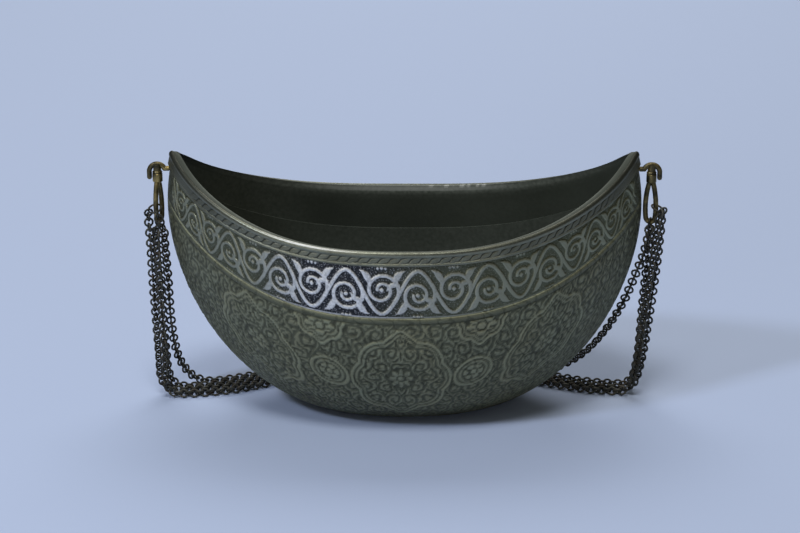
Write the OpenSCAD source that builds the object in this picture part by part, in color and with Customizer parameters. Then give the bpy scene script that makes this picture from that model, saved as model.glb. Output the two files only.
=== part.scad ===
// Boat-shaped begging bowl of tinned copper. Two brass shackles swivel under crooked arms
// at its prows, and four iron chains run from one shackle to the other behind the bowl.
// Millimetres. The origin lies under the middle of the base, X runs from prow to prow,
// the photographed side faces -Y, and Z is up.

/* [Bowl] */
// Length over the wall at its widest line, prow to prow
bowl_length = 300; // [260:1:340]
// Width over the wall at its widest line
bowl_width = 148; // [124:1:176]
// Height of the rim halfway along
rim_height_mid = 125; // [110:1:140]
// Height that the rim climbs to at the prows
rim_height_prow = 164; // [150:1:180]
// Extra lift of the rim right at the prow tips
prow_lift = 4; // [0:0.5:8]
// Thickness of the wall
wall = 1.6; // [1.2:0.1:2.4]
// Thickness of the metal at a prow, measured along the bowl
prow_wall = 3.6; // [2.6:0.1:5]
// Length of the flat base
base_length = 92; // [70:1:110]
// Width of the flat base
base_width = 48; // [36:1:60]
// Drop from the rim to the widest line of the wall
shoulder_drop = 36; // [28:1:46]
// How far the wall leans in at the rim, halfway along
lean_mid = 2; // [0:0.2:4]
// How far the wall leans in at the rim, at the prows
lean_prow = 5; // [2:0.2:8]

/* [Rim strips and moulding] */
// Height of a rim strip
strip_height = 8.6; // [6:0.2:11]
// Thickness of a rim strip
strip_thickness = 1.8; // [1.2:0.1:2.6]
// Height of a rim strip's crown above the lip
strip_crown = 0.5; // [0.2:0.1:1]
// Rounding of a rim strip's edges
strip_edge = 0.4; // [0.2:0.1:0.8]
// Solder gap between a rim strip and the wall
solder_gap = 0.1; // [0.06:0.02:0.2]
// Drop from the rim to the moulding under the frieze, halfway along
moulding_drop_mid = 41.6; // [32:0.2:50]
// Drop from the rim to the moulding under the frieze, at the prows
moulding_drop_prow = 30.4; // [24:0.2:38]
// Height of the moulding
moulding_height = 4; // [2.5:0.5:6]
// How far the moulding stands out of the wall
moulding_relief = 0.9; // [0.4:0.1:1.6]

/* [Frieze] */
// How far the vine stands out of the wall
vine_relief = 0.6; // [0.4:0.1:0.8]
// Length of one repeat of the vine, where the frieze is as tall as halfway along
vine_period = 44; // [40:1:52]
// Width of the vine's strokes on top
vine_stroke = 2; // [1.4:0.1:2.4]
// Plain length of the frieze at each prow
vine_end = 8; // [6:0.5:14]

/* [Prow rivets] */
// Diameter of a prow rivet's shank
rivet_shank = 2; // [1.6:0.1:2.6]
// Diameter of a prow rivet's head
rivet_head = 4; // [3.4:0.2:5]
// Height of a prow rivet's head
rivet_head_height = 1.3; // [0.8:0.1:2]
// Height of a prow rivet above the lower edge of the rim strips
rivet_rise = 3.6; // [3:0.2:4.4]

/* [Arms and swivels] */
// Distance from the prow out to the axis of the swivel
swivel_reach = 5.7; // [5.5:0.1:8]
// Gap between the lower edge of the rim strips and an arm's tang
tang_gap = 1.4; // [0.8:0.1:3]
// Diameter of an arm's tang
tang_rod = 2.4; // [1.8:0.1:2.6]
// Diameter of an arm's crook
crook_rod = 3.2; // [2.6:0.1:3.4]
// Radius of an arm's crook along the middle of the rod
crook_radius = 5.1; // [5:0.1:5.6]
// Rise of the tang above the centre of the crook
crook_rise = 2.2; // [1.6:0.2:3]
// Length of the crook's straight tail beside the barrel
tail_length = 3.4; // [2:0.2:5]
// Diameter of the boss that holds the swivel pin
boss_diameter = 5; // [3.6:0.1:5.2]
// Diameter of the swivel pin
pin_diameter = 2; // [1.6:0.1:2.2]
// Diameter of the swivel pin's head
pin_head = 3.4; // [2.8:0.1:3.6]
// Thickness of the swivel pin's head
pin_head_height = 1.1; // [0.8:0.1:1.4]
// Diameter of the collar over the barrel
collar_diameter = 6.2; // [6.2:0.1:6.4]
// Height of the collar
collar_height = 1.5; // [1:0.1:2]
// Diameter of the rove that an arm's tang is riveted over
rove_diameter = 5; // [4.4:0.2:6]
// Thickness of the rove
rove_thickness = 1; // [0.6:0.1:1.4]

/* [Shackles] */
// Diameter of the barrel
barrel_diameter = 6.4; // [5.8:0.1:6.6]
// Height of the barrel
barrel_height = 5.8; // [5:0.2:7]
// Drop of the barrel's top below the centre of the arm's crook
barrel_drop = 0.7; // [0.4:0.1:1.2]
// Thickness of the barrel's floor under the head of the pin
barrel_floor = 1.1; // [0.8:0.1:1.4]
// Chamfer of the barrel's edges
barrel_edge = 0.5; // [0.2:0.1:0.8]
// Diameter of the loop's rod
loop_rod = 3.2; // [2.8:0.1:3.3]
// Width over the loop
loop_width = 10; // [9.2:0.2:10.4]
// Length of the loop below the barrel
loop_length = 27.4; // [24:0.2:30]
// Radius of the bend at the foot of the loop, along the middle of the rod
loop_bend = 3; // [2.9:0.05:3.2]
// Radius of the bow of the loop's legs, along the middle of the rod
leg_bow = 60; // [50:1:80]
// Turn of the left shackle towards the front, in degrees
left_turn = 65; // [0:1:70]
// Turn of the right shackle towards the front, in degrees
right_turn = 20; // [0:1:60]

/* [End rings and chains] */
// Diameter of an end ring's wire
ring_wire = 1.2; // [1:0.1:1.3]
// Radius of the foot ring, along the middle of its wire
foot_ring_radius = 3.2; // [3:0.1:3.6]
// Radius of the side ring, along the middle of its wire
side_ring_radius = 4.2; // [4.1:0.1:4.6]
// Tilt of the side ring on the loop's outer leg, in degrees
ring_tilt = 25; // [20:1:28]
// Height of the side ring above the foot of the loop
side_ring_rise = 10.8; // [10:0.2:12]
// Spread of the two chains on the foot ring, to either side, in degrees
foot_spread = 27; // [25:1:30]
// Spread of the two chains on the side ring, to either side, in degrees
side_spread = 44; // [40:1:46]
// Diameter of a link's wire
link_wire = 1.4; // [1.1:0.05:1.5]
// Radius of a link, along the middle of its wire
link_radius = 2.55; // [2.5:0.05:2.7]
// Play between one link and the next
link_play = 0.25; // [0.2:0.05:0.4]

/* [Clearances] */
// Running clearance of the swivel pin in the barrel, on the radius
pin_clearance = 0.08; // [0.04:0.01:0.1]
// Press clearance of riveted shanks in their holes, on the radius
rivet_clearance = 0.02; // [0.01:0.01:0.05]
// Clearance between parts that turn past each other
turning_gap = 0.3; // [0.25:0.05:0.5]
// Clearance between parts that touch and stay put
seat_gap = 0.1; // [0.05:0.05:0.2]

/* [Hidden] */
$fn = 48;

half_length = bowl_length / 2;
half_width = bowl_width / 2;
sheer_power = 2.75;
prow_lift_power = 18;
plan_power = 2.4;
plan_bluntness = 0.85;
bilge_power = 1.85;
lean_power = 6;
strip_slope_fade = 16;
moulding_power = 2.25;
moulding_fade = 24;

moulding_edge = moulding_height / 5;
overcut = 1;
side_steps = 30;
shoulder_rows = 4;
bilge_rows = 10;
inner_rows = shoulder_rows + bilge_rows;
ring_count = 2 * side_steps;

// Half length, half width, base half length, base half width and floor height of a skin
outer_skin = [half_length, half_width, base_length / 2, base_width / 2, 0];
inner_skin = [half_length - prow_wall, half_width - wall,
    base_length / 2 - wall, base_width / 2 - wall, wall];

// Shape of the wall: along is -1 at the left prow and 1 at the right prow
function rim_z(along) = rim_height_mid
    + (rim_height_prow - rim_height_mid) * pow(abs(along), sheer_power)
    + prow_lift * pow(abs(along), prow_lift_power);
function plan_share(along) = pow(max(0, 1 - pow(abs(along), plan_power)), plan_bluntness);
function lean_at(along) = lean_mid + (lean_prow - lean_mid) * pow(abs(along), lean_power);
function rim_slope(along) = (rim_height_prow - rim_height_mid) * sheer_power / half_length
    * pow(abs(along), sheer_power - 1) * (1 - pow(abs(along), strip_slope_fade));
function strip_drop(along) = strip_height * sqrt(1 + pow(rim_slope(along), 2));
function moulding_drop(along) = moulding_drop_mid
    + (moulding_drop_prow - moulding_drop_mid) * pow(abs(along), moulding_power);

// A point of a skin, a given drop below the rim, moved out of the wall by a given amount
function skin_point(skin, along, side, drop, out = 0) =
    let(
        height = rim_z(along) - skin[4],
        share = min(1, drop / height),
        shoulder = shoulder_drop / height,
        fall = max(0, (share - shoulder) / (1 - shoulder)),
        spread = pow(max(0, 1 - pow(fall, bilge_power)), 1 / bilge_power),
        lean = share < shoulder ? lean_at(along) * pow(1 - share / shoulder, 2) : 0,
        base_x = skin[2] * along,
        base_y = skin[3] * sqrt(max(0, 1 - along * along)),
        x = base_x + (skin[0] * along - base_x) * spread,
        y = base_y + (skin[1] * plan_share(along) - base_y) * spread
    )
    [x * (1 + (out - lean) / skin[0]), side * y * (1 + (out - lean) / skin[1]),
        skin[4] + height * (1 - share)];

// Stations round the bowl: along the front from left to right, then back along the rear
function station(i) = i <= side_steps ? -cos(180 * i / side_steps)
    : cos(180 * (i - side_steps) / side_steps);
function station_side(i) = i <= side_steps ? -1 : 1;

// Drop and relief of each row down the outside: rim, strip, frieze, moulding, then the belly
function outer_rows(along) =
    let(
        top = moulding_drop(along),
        foot = top + moulding_height,
        height = rim_z(along),
        relief = moulding_relief * (1 - pow(abs(along), moulding_fade))
    )
    concat(
        [[0, 0], [strip_drop(along), 0], [(strip_drop(along) + top) / 2, 0], [top, 0],
            [top + moulding_edge, relief], [foot - moulding_edge, relief],
            [foot, 0]],
        [for (j = [1 : bilge_rows]) [foot + (height - foot) * sin(90 * j / bilge_rows), 0]]
    );

// Drop of each row down the inside: the lean under the rim, then the belly
function inner_drop(along, j) = j <= shoulder_rows ? shoulder_drop * j / shoulder_rows
    : shoulder_drop
        + (rim_z(along) - wall - shoulder_drop) * sin(90 * (j - shoulder_rows) / bilge_rows);

outer_row_count = len(outer_rows(0));
inner_start = outer_row_count * ring_count;

function outer_at(j, i) = j * ring_count + i % ring_count;
function inner_at(j, i) = inner_start + outer_at(j, i);

bowl_points = concat(
    [for (j = [0 : outer_row_count - 1], i = [0 : ring_count - 1])
        let(row = outer_rows(station(i))[j])
        skin_point(outer_skin, station(i), station_side(i), row[0], row[1])],
    [for (j = [0 : inner_rows], i = [0 : ring_count - 1])
        skin_point(inner_skin, station(i), station_side(i), inner_drop(station(i), j))]
);
bowl_faces = concat(
    [for (j = [0 : outer_row_count - 2], i = [0 : ring_count - 1])
        each [[outer_at(j, i), outer_at(j, i + 1), outer_at(j + 1, i + 1)],
            [outer_at(j, i), outer_at(j + 1, i + 1), outer_at(j + 1, i)]]],
    [for (j = [0 : inner_rows - 1], i = [0 : ring_count - 1])
        each [[inner_at(j, i), inner_at(j + 1, i + 1), inner_at(j, i + 1)],
            [inner_at(j, i), inner_at(j + 1, i), inner_at(j + 1, i + 1)]]],
    [for (i = [0 : ring_count - 1])
        each [[outer_at(0, i), inner_at(0, i), inner_at(0, i + 1)],
            [outer_at(0, i), inner_at(0, i + 1), outer_at(0, i + 1)]]],
    [[for (i = [0 : ring_count - 1]) outer_at(outer_row_count - 1, i)]],
    [[for (i = [ring_count - 1 : -1 : 0]) inner_at(inner_rows, i)]]
);

// The frieze laid flat: x runs along it and y up it, at the scale that it has halfway along
frieze_samples = 120;
function frieze_height(along) = moulding_drop(along) - strip_drop(along);
function frieze_drop(along, y) = (moulding_drop(along) + strip_drop(along)) / 2
    - y * frieze_height(along) / frieze_height(0);
frieze_line = [for (i = [0 : frieze_samples])
    let(along = -cos(180 * i / frieze_samples))
    [along, skin_point(outer_skin, along, -1, frieze_drop(along, 0))]];
frieze_runs = [for (i = 0, run = 0; i <= frieze_samples;
    run = run + (i < frieze_samples ? norm(frieze_line[i + 1][1] - frieze_line[i][1])
        * frieze_height(0) / frieze_height((frieze_line[i][0] + frieze_line[i + 1][0]) / 2) : 0),
    i = i + 1) run];
frieze_half = frieze_runs[frieze_samples] / 2;
frieze_places = [for (i = [0 : frieze_samples]) [frieze_runs[i] - frieze_half, frieze_line[i][0]]];
vine_half = frieze_half - vine_end * frieze_height(0) / frieze_height(1);
function frieze_point(side, p, out) =
    let(along = lookup(p[0], frieze_places))
    skin_point(outer_skin, along, side, frieze_drop(along, p[1]), out);

// Lines of the vine as points with half widths: the waving stem, its curled shoots and their leaves
stem_steps = 8;
stem_rise = 0.41 * frieze_height(0);
stem_count = floor(vine_half * stem_steps / vine_period);
stem_line = [for (i = [-stem_count : stem_count])
    [i * vine_period / stem_steps, stem_rise * sin(360 * i / stem_steps), vine_stroke / 2]];
shoot_steps = 10;
shoot_reach = 0.33 * frieze_height(0);
shoot_sink = 0.05 * frieze_height(0);
shoot_start = 38;
shoot_sweep = 480;
shoot_curl = 0.63;
shoot_count = floor((vine_half - shoot_reach) * 2 / vine_period - 0.5);
function shoot_at(k, angle, reach, half) =
    let(way = k % 2 == 0 ? 1 : -1)
    [(k + 0.5) * vine_period / 2 + reach * cos(angle), way * (reach * sin(angle) - shoot_sink), half];
function shoot_line(k) = [for (i = [0 : shoot_steps])
    let(share = i / shoot_steps)
    shoot_at(k, shoot_start - shoot_sweep * share, shoot_reach * (1 - shoot_curl * share),
        vine_stroke / 2)];
leaf_reach = 0.56 * frieze_height(0);
leaf_root = 0.27 * frieze_height(0);
leaf_turns = [[-150, -138], [-30, -40]];
function leaf_line(k, turn) = [shoot_at(k, turn[0], leaf_root, vine_stroke * 0.7),
    shoot_at(k, turn[1], leaf_reach, vine_stroke * 0.2)];
vine_lines = concat([stem_line], [for (k = [-shoot_count - 1 : shoot_count])
    each [shoot_line(k), each [for (turn = leaf_turns) leaf_line(k, turn)]]]);

// Heights at the prows, from the rim's tip down to the foot of the loop
tip_z = rim_z(1);
rivet_z = tip_z - strip_height + rivet_rise;
tang_z = tip_z - strip_height - tang_gap - tang_rod / 2;
swivel_x = half_length + swivel_reach;
crook_z = tang_z - crook_rise;
tail_x = swivel_x + barrel_diameter / 2 + turning_gap + crook_rod / 2;
crook_x = tail_x - crook_radius;
crook_start = 180 - asin(crook_rise / crook_radius);
barrel_top = crook_z - barrel_drop;
barrel_foot = barrel_top - barrel_height;
collar_foot = barrel_top + turning_gap;
boss_foot = collar_foot + collar_height + seat_gap;
boss_top = crook_z + sqrt(pow(crook_radius, 2) - pow(swivel_x - crook_x, 2));
pin_seat = boss_top - crook_rod / 4;
chamber_foot = barrel_foot + barrel_floor;
head_foot = chamber_foot + turning_gap;
chamber_top = head_foot + pin_head_height + turning_gap;
bore_radius = pin_diameter / 2 + pin_clearance;
chamber_radius = pin_head / 2 + turning_gap;

// Where a round head seats inside a prow: there the walls stand just wider than the head
function seat_along(radius) = pow(1 - pow((radius + 2 * seat_gap) / (inner_skin[1] - lean_prow),
    1 / plan_bluntness), 1 / plan_power);
function seat_inside(radius, z) =
    let(along = seat_along(radius))
    skin_point(inner_skin, along, 1, rim_z(along) - z)[0];
rivet_inside = seat_inside(rivet_head / 2, rivet_z);
tang_inside = seat_inside(rove_diameter / 2, tang_z);
rivet_outside = skin_point(outer_skin, 1, 1, tip_z - rivet_z, strip_thickness / 2)[0];
arm_shoulder = skin_point(outer_skin, 1, 1, tip_z - tang_z + crook_rod / 2)[0] + 2 * seat_gap;

// The loop in its own plane: legs bowed about a far centre, tangent to the bend at the foot
loop_foot = barrel_foot - loop_length;
bend_z = loop_foot + loop_rod / 2 + loop_bend;
leg_centre_u = (loop_width - loop_rod) / 2 - leg_bow;
leg_centre_z = bend_z + sqrt(pow(leg_bow - loop_bend, 2) - pow(leg_centre_u, 2));
leg_lean = asin((leg_centre_z - bend_z) / (leg_bow - loop_bend));
leg_weld = 0.5;
leg_top = asin((barrel_foot + leg_weld - leg_centre_z) / leg_bow);
weld_swell = 0.02;

// End rings: one round the foot of the loop, one on its outer leg
foot_ring_z = loop_foot + loop_rod + seat_gap + ring_wire / 2 - foot_ring_radius;
side_ring_z = loop_foot + side_ring_rise;
side_ring_top = side_ring_z + side_ring_radius * sin(ring_tilt);
leg_inside = leg_centre_u + sqrt(pow(leg_bow, 2) - pow(side_ring_top - leg_centre_z, 2))
    - loop_rod / 2;
side_ring_u = leg_inside - 2 * seat_gap - ring_wire / 2 + side_ring_radius * cos(ring_tilt);

// Routes of the chains between the shackles, left to right: hang, floor, hang
chain_a_route = [
    [-161.4, -4.6, 110], [-161.2, -3.2, 85], [-161, -0.2, 55], [-161, 3.8, 28],
    [-161, 7, 13], [-157, 8.2, 5], [-150, 8.5, 2.9], [-132, 11.5, 2.6], [-113, 17.5, 2.6],
    [-95, 27.5, 2.6], [-75, 40.5, 2.6], [-46, 50.5, 2.6], [0, 55.5, 2.6], [46, 50.5, 2.6],
    [75, 41.5, 2.6], [97, 30.5, 2.6], [119, 21.5, 2.6], [135, 18, 2.6], [144, 17, 2.9],
    [149.5, 16.2, 6.5], [152, 14.4, 14], [154.5, 10.2, 30], [157.5, 5.4, 60], [160.3, 2.6, 88],
    [162.2, 1.2, 110]];
chain_b_route = [
    [-155.6, -9, 110], [-155.4, -8, 85], [-155.6, -5.4, 55], [-155.8, -2.4, 28],
    [-156.5, 0.5, 13], [-153.5, 1.5, 5], [-147, 2, 2.9], [-130, 5, 2.6], [-112, 11, 2.6],
    [-94, 21, 2.6], [-74, 34, 2.6], [-45, 44, 2.6], [0, 49, 2.6], [45, 44, 2.6],
    [74, 35, 2.6], [96, 24, 2.6], [118, 15, 2.6], [133, 11.5, 2.6], [141, 10.5, 2.9],
    [146, 9.6, 6.5], [148.3, 7.2, 14], [150.6, 2.8, 30], [153.4, -1.6, 60], [156.8, -5, 88],
    [159, -6.8, 110]];
chain_c_route = [
    [-159, 2, 110], [-158.8, 3.8, 85], [-157.8, 7.1, 55], [-156.8, 10.6, 28],
    [-156, 13, 13], [-152, 14.5, 5], [-145, 15, 2.9], [-130, 18, 2.6], [-113, 24, 2.6],
    [-95.5, 34, 2.6], [-76, 47, 2.6], [-47, 57, 2.6], [0, 62, 2.6], [47, 57, 2.6],
    [76, 48, 2.6], [98, 37, 2.6], [119, 28, 2.6], [134, 25, 2.6], [142.5, 24.2, 2.9],
    [147.5, 23, 6.5], [149.8, 20.8, 14], [151.5, 16.6, 30], [153, 12, 60], [154.8, 8.4, 88],
    [156, 5.6, 110]];
chain_d_route = [
    [-152.6, -1.8, 110], [-152, 0, 85], [-152, 4.2, 55], [-150.5, 9.5, 33],
    [-147.5, 15, 19], [-142, 20, 9], [-135, 23, 4], [-127, 25.5, 2.8], [-113, 31, 2.6],
    [-96, 40.5, 2.6], [-77, 53.5, 2.6], [-48, 63.5, 2.6], [0, 68.5, 2.6], [47, 64, 2.6],
    [75, 56, 2.8], [92, 49, 3.6], [105, 42, 9.5], [119, 32, 23], [131, 22, 42],
    [141, 13, 64], [148, 5.5, 86], [152, 0, 100], [154, -3.2, 111]];

// Puts a right-hand piece on either prow: side is 1 at the right and -1 at the left
module on_side(side) {
    mirror([side < 0 ? 1 : 0, 0, 0]) children();
}

// Puts a piece modelled about the swivel's axis in place, turned towards the front
module on_swivel(side) {
    on_side(side) translate([swivel_x, 0, 0])
        rotate([0, 0, -(side < 0 ? left_turn : right_turn)]) children();
}

// Rod bent round the Y axis, from one angle to another
module bent_rod(bend, rod, from, to) {
    rotate([90, 0, 0]) rotate([0, 0, from]) rotate_extrude(angle = to - from)
        translate([bend, 0]) circle(d = rod);
}

module wire_ring(radius, wire) {
    rotate_extrude() translate([radius, 0]) circle(d = wire);
}

// Holes at both prows for the rivets and the tangs, right through the metal
module prow_holes(z, diameter, inside) {
    for (side = [-1, 1]) on_side(side) translate([inside - overcut, 0, z])
        rotate([0, 90, 0]) cylinder(d = diameter + 2 * rivet_clearance, h = swivel_x - inside);
}

// Raised stroke along a line of the vine, with sloping sides that go down into the wall
module vine_stroke_on(side, line) {
    last = len(line) - 1;
    root = 0.5;
    slope = 0.6;
    points = [for (i = [0 : last])
        let(
            step = line[min(last, i + 1)] - line[max(0, i - 1)],
            across = [-step[1], step[0], 0] / norm([step[0], step[1]]),
            half = line[i][2]
        )
        each [frieze_point(side, line[i] + (half + slope) * across, -root),
            frieze_point(side, line[i] + half * across, vine_relief),
            frieze_point(side, line[i] - half * across, vine_relief),
            frieze_point(side, line[i] - (half + slope) * across, -root)]];
    walls = [for (i = [0 : last - 1], k = [0 : 3])
        let(a = 4 * i + k, b = 4 * i + (k + 1) % 4)
        each [[a, b, b + 4], [a, b + 4, a + 4]]];
    faces = concat(walls, [[3, 2, 1, 0], [for (k = [0 : 3]) 4 * last + k]]);
    flipped = [for (f = faces) [for (k = [len(f) - 1 : -1 : 0]) f[k]]];
    polyhedron(points, side < 0 ? flipped : faces);
}

module bowl_shell() {
    color("#565c55") difference() {
        union() {
            polyhedron(bowl_points, bowl_faces);
            for (side = [-1, 1], line = vine_lines) vine_stroke_on(side, line);
        }
        prow_holes(rivet_z, rivet_shank, rivet_inside);
        prow_holes(tang_z, tang_rod, tang_inside);
    }
}

// Strip soldered round the outside of the lip on one side, with a low crown
module rim_strip(side) {
    count = 6;
    rows = [for (i = [0 : side_steps])
        let(
            along = -cos(180 * i / side_steps),
            drop = strip_drop(along),
            face = solder_gap + strip_thickness
        )
        each [for (p = [[0, solder_gap], [-strip_crown, (solder_gap + face) / 2],
                [strip_edge, face], [drop - 2 * strip_edge, face],
                [drop, (solder_gap + face) / 2], [drop, solder_gap]])
            skin_point(outer_skin, along, side, p[0], p[1])]];
    walls = [for (i = [0 : side_steps - 1], k = [0 : count - 1])
        let(a = i * count + k, b = i * count + (k + 1) % count)
        each [[a, b, b + count], [a, b + count, a + count]]];
    ends = [[for (k = [count - 1 : -1 : 0]) k],
        [for (k = [0 : count - 1]) side_steps * count + k]];
    faces = concat(walls, ends);
    flipped = [for (f = faces) [for (k = [len(f) - 1 : -1 : 0]) f[k]]];
    difference() {
        polyhedron(rows, side < 0 ? faces : flipped);
        prow_holes(rivet_z, rivet_shank, rivet_inside);
    }
}

module rim_strip_front() { color("#6a6f69") rim_strip(-1); }
module rim_strip_back() { color("#6a6f69") rim_strip(1); }

// Brass rivet through the prow and the ends of both strips, domed inside, filed flush outside
module prow_rivet(side) {
    dome = (pow(rivet_head / 2, 2) + pow(rivet_head_height, 2)) / (2 * rivet_head_height);
    color("#8f7d46") on_side(side) translate([rivet_inside - seat_gap, 0, rivet_z])
        rotate([0, 90, 0]) union() {
            cylinder(d = rivet_shank, h = rivet_outside - rivet_inside + seat_gap);
            intersection() {
                translate([0, 0, dome - rivet_head_height]) sphere(r = dome);
                translate([0, 0, -rivet_head]) cylinder(d = 2 * rivet_head, h = rivet_head);
            }
        }
}

module prow_rivet_left() { prow_rivet(-1); }
module prow_rivet_right() { prow_rivet(1); }

// Crooked arm: a shouldered tang riveted through the prow, a bend over the barrel and a straight tail
module arm(side) {
    tang_end = tang_inside - rove_thickness - 2 * seat_gap;
    start_x = crook_x + crook_radius * cos(crook_start);
    color("#8a7d4c") on_side(side) difference() {
        union() {
            translate([tang_end, 0, tang_z]) rotate([0, 90, 0])
                cylinder(d = tang_rod, h = start_x - tang_end);
            translate([arm_shoulder, 0, tang_z]) rotate([0, 90, 0])
                cylinder(d = crook_rod, h = start_x - arm_shoulder);
            translate([start_x, 0, tang_z]) sphere(d = crook_rod);
            translate([crook_x, 0, crook_z]) bent_rod(crook_radius, crook_rod, 0, crook_start);
            translate([tail_x, 0, crook_z - tail_length]) cylinder(d = crook_rod, h = tail_length);
            translate([tail_x, 0, crook_z - tail_length]) sphere(d = crook_rod);
            translate([swivel_x, 0, boss_foot]) cylinder(d = boss_diameter, h = boss_top - boss_foot);
        }
        translate([swivel_x, 0, boss_foot - overcut])
            cylinder(d = pin_diameter + 2 * rivet_clearance, h = pin_seat - boss_foot + overcut);
    }
}

module arm_left() { arm(-1); }
module arm_right() { arm(1); }

// Washer inside the bowl that the end of the tang is riveted over
module arm_rove(side) {
    color("#8f7d46") on_side(side)
        translate([tang_inside - rove_thickness - seat_gap, 0, tang_z]) rotate([0, 90, 0])
        difference() {
            cylinder(d = rove_diameter, h = rove_thickness);
            translate([0, 0, -overcut])
                cylinder(d = tang_rod + 2 * rivet_clearance, h = rove_thickness + 2 * overcut);
        }
}

module arm_rove_left() { arm_rove(-1); }
module arm_rove_right() { arm_rove(1); }

// Headed pin that hangs from the arm's boss and carries the barrel
module swivel_pin(side) {
    color("#7b7048") on_side(side) translate([swivel_x, 0, 0]) union() {
        translate([0, 0, head_foot]) cylinder(d = pin_head, h = pin_head_height);
        translate([0, 0, head_foot]) cylinder(d = pin_diameter, h = pin_seat - seat_gap - head_foot);
    }
}

module swivel_pin_left() { swivel_pin(-1); }
module swivel_pin_right() { swivel_pin(1); }

// Domed collar between the boss and the barrel
module swivel_collar(side) {
    inside = pin_diameter / 2 + seat_gap;
    outside = collar_diameter / 2;
    dome = collar_height / 3;
    color("#8a7d4c") on_side(side) translate([swivel_x, 0, collar_foot]) rotate_extrude()
        polygon([[inside, 0], [outside, 0], [outside, dome],
            [outside - dome, collar_height - dome / 2], [boss_diameter / 2, collar_height],
            [inside, collar_height]]);
}

module swivel_collar_left() { swivel_collar(-1); }
module swivel_collar_right() { swivel_collar(1); }

// Barrel bored for the pin, closed over its head, with the long loop below it
module shackle(side) {
    radius = barrel_diameter / 2;
    color("#7d7447") on_swivel(side) difference() {
        union() {
            translate([0, 0, barrel_foot]) rotate_extrude() polygon([[0, 0],
                [radius - barrel_edge, 0], [radius, barrel_edge],
                [radius, barrel_height - barrel_edge], [radius - barrel_edge, barrel_height],
                [0, barrel_height]]);
            for (leg = [0, 1]) mirror([leg, 0, 0]) translate([leg_centre_u, 0, leg_centre_z])
                bent_rod(leg_bow, loop_rod, -leg_lean, leg_top);
            translate([0, 0, bend_z]) bent_rod(loop_bend, loop_rod, 180 + leg_lean, 360 - leg_lean);
            for (way = [-1, 1])
                translate([way * loop_bend * cos(leg_lean), 0, bend_z - loop_bend * sin(leg_lean)])
                sphere(d = loop_rod + weld_swell);
        }
        translate([0, 0, chamber_foot]) cylinder(r = chamber_radius, h = chamber_top - chamber_foot);
        translate([0, 0, chamber_foot]) cylinder(r = bore_radius, h = barrel_height);
    }
}

module shackle_left() { shackle(-1); }
module shackle_right() { shackle(1); }

// Iron ring round the foot of the loop, for two chains
module foot_ring(side) {
    color("#3a3431") on_swivel(side) translate([0, 0, foot_ring_z]) rotate([0, 90, 0])
        wire_ring(foot_ring_radius, ring_wire);
}

module foot_ring_left() { foot_ring(-1); }
module foot_ring_right() { foot_ring(1); }

// Iron ring tilted on the loop's outer leg, for the other two chains
module side_ring(side) {
    color("#3a3431") on_swivel(side) translate([side_ring_u, 0, side_ring_z])
        rotate([0, ring_tilt, 0]) wire_ring(side_ring_radius, ring_wire);
}

module side_ring_left() { side_ring(-1); }
module side_ring_right() { side_ring(1); }

// Where a chain hooks on: the wire's own direction there, and the middle of the first link
down = [0, 0, -1];
function unit(v) = v / norm(v);
function turned(side, p) =
    let(turn = side < 0 ? left_turn : right_turn)
    [side * (p[0] * cos(turn) + p[1] * sin(turn)), p[1] * cos(turn) - p[0] * sin(turn), p[2]];
function ring_spoke(on_foot, spread) = on_foot ? [0, sin(spread), -cos(spread)]
    : [cos(spread) * cos(ring_tilt), sin(spread), -cos(spread) * sin(ring_tilt)];
function ring_along(on_foot, spread) = on_foot ? [0, cos(spread), sin(spread)]
    : [-sin(spread) * cos(ring_tilt), cos(spread), sin(spread) * sin(ring_tilt)];
function ring_radius(on_foot) = on_foot ? foot_ring_radius : side_ring_radius;
function ring_middle(on_foot) = on_foot ? [0, 0, foot_ring_z] : [side_ring_u, 0, side_ring_z];
function hook_fall(on_foot, spread) =
    let(along = ring_along(on_foot, spread))
    unit(down - (down * along) * along);
function hook_point(side, on_foot, spread) =
    [side * swivel_x, 0, 0] + turned(side, ring_middle(on_foot)
        + ring_radius(on_foot) * ring_spoke(on_foot, spread)
        + (link_radius - (link_wire + ring_wire) / 2 - seat_gap) * hook_fall(on_foot, spread));
function hook_lead(side, on_foot, spread) = link_pitch * turned(side, hook_fall(on_foot, spread));
function hook_wire(side, on_foot, spread) = turned(side, ring_along(on_foot, spread));

// Chains: name, ring at the left and its spread, ring at the right and its spread, route
link_pitch = 2 * link_radius - link_wire - link_play;
CHAINS = [
    ["a", false, side_spread, false, side_spread, chain_a_route],
    ["b", false, -side_spread, false, -side_spread, chain_b_route],
    ["c", true, foot_spread, true, foot_spread, chain_c_route],
    ["d", true, -foot_spread, true, -foot_spread, chain_d_route]];

// Smooth curve through the route's points, and its length up to each sample
curve_steps = 8;
link_facets = 24;
function curve_point(p, i, s) =
    let(
        a = p[max(0, i - 1)],
        b = p[i],
        c = p[i + 1],
        d = p[min(len(p) - 1, i + 2)]
    )
    0.5 * (2 * b + s * (c - a) + s * s * (2 * a - 5 * b + 4 * c - d)
        + s * s * s * (3 * b - a - 3 * c + d));
function curve(p) = concat([for (i = [0 : len(p) - 2], k = [0 : curve_steps - 1])
    curve_point(p, i, k / curve_steps)], [p[len(p) - 1]]);
function run_lengths(p) = [for (i = 0, sum = 0; i < len(p);
    sum = sum + (i + 1 < len(p) ? norm(p[i + 1] - p[i]) : 0), i = i + 1) sum];
function at_length(p, runs, s) =
    let(i = max([for (k = [0 : len(runs) - 2]) if (runs[k] <= s) k]))
    p[i] + (p[i + 1] - p[i]) * min(1, (s - runs[i]) / (runs[i + 1] - runs[i]));

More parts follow.
